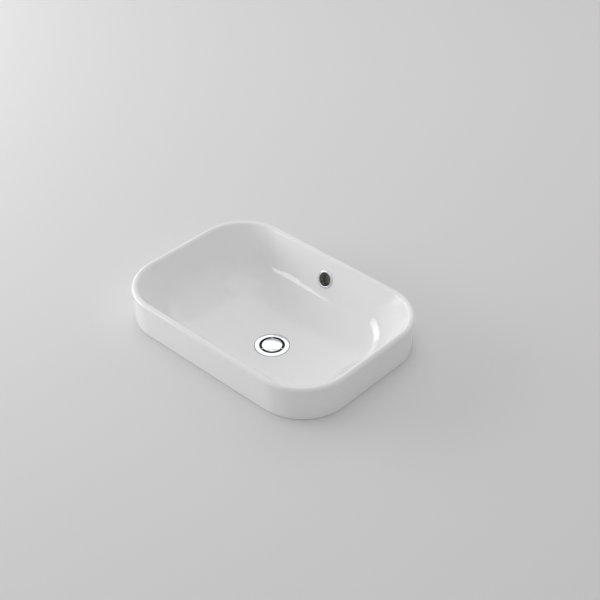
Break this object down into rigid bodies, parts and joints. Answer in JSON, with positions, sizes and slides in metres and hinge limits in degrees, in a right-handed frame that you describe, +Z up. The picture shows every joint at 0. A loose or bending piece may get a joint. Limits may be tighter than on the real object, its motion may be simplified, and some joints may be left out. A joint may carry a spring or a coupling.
{
  "type": "inset wash basin",
  "caption": "Inset wash basin with rounded corners, a raised rim, an overflow in the back wall and a click plug waste below.",
  "frame": {"origin": "centre of the basin's footprint on the bench top, at the flat underside of the skirt", "axes": "+X along the basin's length, +Y towards its back, +Z up"},
  "size_m": [0.5, 0.354, 0.205],
  "materials": {
    "glazed_china": "glossy white glaze",
    "chrome_trim": "polished chrome plate",
    "chrome_brass": "polished chrome plate on brass",
    "rubber": "matt black rubber",
    "foam": "closed-cell foam",
    "clear_plastic": "translucent white plastic",
    "grey_plastic": "moulded grey plastic",
    "brass": "turned brass",
    "spring_steel": "drawn stainless wire"
  },
  "bodies": {
    "basin": {"basin_body": "glazed_china", "overflow_ring": "chrome_trim", "overflow_gasket": "foam", "waste_body": "chrome_brass", "flange_seal": "rubber", "cone_washer": "rubber", "slip_washer": "clear_plastic", "backnut": "brass", "cartridge_housing": "grey_plastic", "cartridge_base": "brass", "cartridge_nut": "brass", "cartridge_spring": "spring_steel", "spindle_wiper": "rubber"},
    "plug": {"spindle": "brass", "plug_cap": "chrome_brass", "seal_carrier": "grey_plastic", "plug_seal": "rubber", "plug_locknut": "brass"},
    "indexer": {"index_ring": "grey_plastic"}
  },
  "joints": [
    {"name": "plug_lift", "type": "slide", "parent": "basin", "child": "plug", "axis": [0, 0, 1], "range_m": [0, 0.008], "deforming": ["cartridge_spring"]},
    {"name": "index_turn", "type": "hinge", "parent": "plug", "child": "indexer", "pos_m": [0, 0, -0.07], "axis": [0, 0, 1], "range_deg": [0, 23]}
  ],
  "couplings": [
    {"joint": "index_turn", "follows": "plug_lift", "rad_per_m": 49.087}
  ]
}
